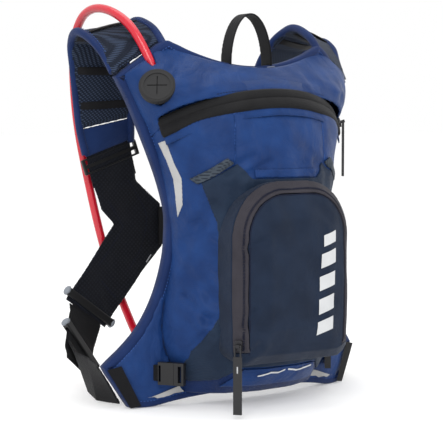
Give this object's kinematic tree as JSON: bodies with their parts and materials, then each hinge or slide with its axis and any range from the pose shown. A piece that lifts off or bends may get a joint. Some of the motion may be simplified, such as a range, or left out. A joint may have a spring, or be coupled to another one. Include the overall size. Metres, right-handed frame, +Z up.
{
  "type": "hydration pack",
  "caption": "Small running hydration pack: domed main compartment, front pocket on a strapped carrier, wide chest harness, water bladder inside with hose and bite valve.",
  "frame": {"origin": "On the standing surface, midway between the two side wings, on the line where the back panel's outer face crosses the middle of the pack.", "axes": "+Z up when the pack stands, -Y the outer face with the pockets, +Y the wearer's side with the harness, +X the right side as seen facing the pockets."},
  "size_m": [0.3368, 0.2618, 0.4338],
  "materials": {
    "royal_nylon": "royal blue coated nylon weave",
    "navy_nylon": "navy ripstop nylon",
    "binding_blue": "blue grosgrain binding tape",
    "mesh_dark": "dark spacer mesh",
    "mesh_light": "dotted blue-grey mesh",
    "foam": "closed-cell foam",
    "webbing_black": "black woven webbing",
    "elastic_navy": "wide woven elastic",
    "zip_charcoal": "charcoal coil zipper",
    "zip_taupe": "grey-brown coil zipper",
    "plastic_black": "matte black moulding",
    "plastic_grey": "grey moulding",
    "reflective": "silver reflective film",
    "metal_dark": "dark painted metal",
    "hose_red": "translucent red tube",
    "bladder_clear": "frosted film",
    "valve_black": "glossy black"
  },
  "bodies": {
    "pack": {"back_panel_foam": "foam", "back_panel_mesh": "mesh_dark", "bite_valve_body": "valve_black", "bite_valve_mouthpiece": "hose_red", "bladder": "bladder_clear", "bladder_hanger": "webbing_black", "bladder_outlet": "valve_black", "bottom_flap": "royal_nylon", "bottom_panel": "royal_nylon", "buckle_tail_left": "webbing_black", "buckle_tail_right": "webbing_black", "cable_port": "valve_black", "carrier_buckle_female_left": "plastic_black", "carrier_buckle_female_right": "plastic_black", "carrier_panel": "navy_nylon", "carrier_top_tab_left": "mesh_light", "carrier_top_tab_right": "mesh_light", "chest_clip_base": "plastic_black", "chest_elastic_left": "elastic_navy", "chest_elastic_right": "elastic_navy", "edge_binding": "binding_blue", "front_panel": "royal_nylon", "grab_handle": "webbing_black", "hose": "hose_red", "hose_inner": "hose_red", "ladder_lock_left": "plastic_black", "ladder_lock_right": "plastic_black", "lower_webbing_left": "webbing_black", "lower_webbing_right": "webbing_black", "main_zip_tape": "zip_charcoal", "pocket_front": "navy_nylon", "pocket_gusset": "navy_nylon", "pocket_zip_tape": "zip_taupe", "reflective_strip_left": "reflective", "reflective_strip_right": "reflective", "shoulder_strap_left": "mesh_dark", "shoulder_strap_right": "mesh_dark", "side_panel_left": "royal_nylon", "side_panel_right": "royal_nylon", "side_wing_left": "mesh_dark", "side_wing_right": "mesh_dark", "stow_pocket_hem": "binding_blue", "strap_end_band_left": "binding_blue", "strap_end_band_right": "binding_blue", "upper_yoke": "royal_nylon"},
    "main_zip_slider": {"main_zip_slider": "metal_dark"},
    "main_zip_pull": {"main_zip_pull": "metal_dark"},
    "pocket_zip_slider": {"pocket_zip_slider": "metal_dark"},
    "pocket_zip_pull": {"pocket_zip_pull": "metal_dark"},
    "carrier_buckle_male_left": {"carrier_buckle_male_left": "plastic_black"},
    "carrier_buckle_male_right": {"carrier_buckle_male_right": "plastic_black"},
    "chest_clip_slide": {"chest_clip_slide": "plastic_black"},
    "chest_clip_button": {"chest_clip_button": "plastic_black"},
    "upper_adjuster_left": {"upper_adjuster_left": "plastic_black"},
    "upper_adjuster_right": {"upper_adjuster_right": "plastic_black"},
    "lower_adjuster_left": {"lower_adjuster_left": "plastic_black"},
    "lower_adjuster_right": {"lower_adjuster_right": "plastic_black"},
    "bladder_slide_bar": {"bladder_slide_bar": "plastic_grey"},
    "release_button": {"release_button": "plastic_grey"},
    "shutoff_lever": {"shutoff_lever": "plastic_grey"}
  },
  "joints": [
    {"name": "main_zip_travel", "type": "hinge", "parent": "pack", "child": "main_zip_slider", "pos_m": [0, 0.05824, 0.26236], "axis": [0, 0.4985, 0.8669], "range_deg": [-105, 0]},
    {"name": "main_pull_swing", "type": "hinge", "parent": "main_zip_slider", "child": "main_zip_pull", "pos_m": [0.11636, -0.01777, 0.30607], "axis": [-0.5469, -0.8372, 0], "range_deg": [0, 100]},
    {"name": "pocket_zip_travel", "type": "slide", "parent": "pack", "child": "pocket_zip_slider", "axis": [0, 0, 1], "range_m": [0, 0.095]},
    {"name": "pocket_pull_swing", "type": "hinge", "parent": "pocket_zip_slider", "child": "pocket_zip_pull", "pos_m": [-0.07445, -0.08945, 0.076], "axis": [-0.7071, 0.7071, 0], "range_deg": [0, 100]},
    {"name": "carrier_buckle_release_left", "type": "slide", "parent": "pack", "child": "carrier_buckle_male_left", "axis": [0.6, -0.8, 0], "range_m": [0, 0.016]},
    {"name": "carrier_buckle_release_right", "type": "slide", "parent": "pack", "child": "carrier_buckle_male_right", "axis": [-0.6, -0.8, 0], "range_m": [0, 0.016]},
    {"name": "chest_clip_travel", "type": "slide", "parent": "pack", "child": "chest_clip_slide", "axis": [0, 0, 1], "range_m": [0, 0.036]},
    {"name": "chest_clip_button_press", "type": "slide", "parent": "pack", "child": "chest_clip_button", "axis": [0, -1, 0], "range_m": [0, 0.0012], "stiffness_N_per_m": 400},
    {"name": "upper_adjuster_travel_left", "type": "slide", "parent": "pack", "child": "upper_adjuster_left", "axis": [0.6, 0, 0.8], "range_m": [0, 0.01]},
    {"name": "upper_adjuster_travel_right", "type": "slide", "parent": "pack", "child": "upper_adjuster_right", "axis": [-0.6, 0, 0.8], "range_m": [0, 0.01]},
    {"name": "lower_adjuster_travel_left", "type": "slide", "parent": "pack", "child": "lower_adjuster_left", "axis": [-0.3636, -0.4298, -0.8265], "range_m": [-0.006, 0.006]},
    {"name": "lower_adjuster_travel_right", "type": "slide", "parent": "pack", "child": "lower_adjuster_right", "axis": [0.3636, -0.4298, -0.8265], "range_m": [-0.006, 0.006]},
    {"name": "bladder_bar_travel", "type": "slide", "parent": "pack", "child": "bladder_slide_bar", "axis": [1, 0, 0], "range_m": [0, 0.034]},
    {"name": "hose_release_press", "type": "slide", "parent": "pack", "child": "release_button", "axis": [0, 1, 0], "range_m": [0, 0.0012], "stiffness_N_per_m": 400},
    {"name": "shutoff_lever_turn", "type": "hinge", "parent": "pack", "child": "shutoff_lever", "pos_m": [0.08283, 0.10493, 0.0147], "axis": [0, 0, 1], "range_deg": [0, 90]}
  ]
}
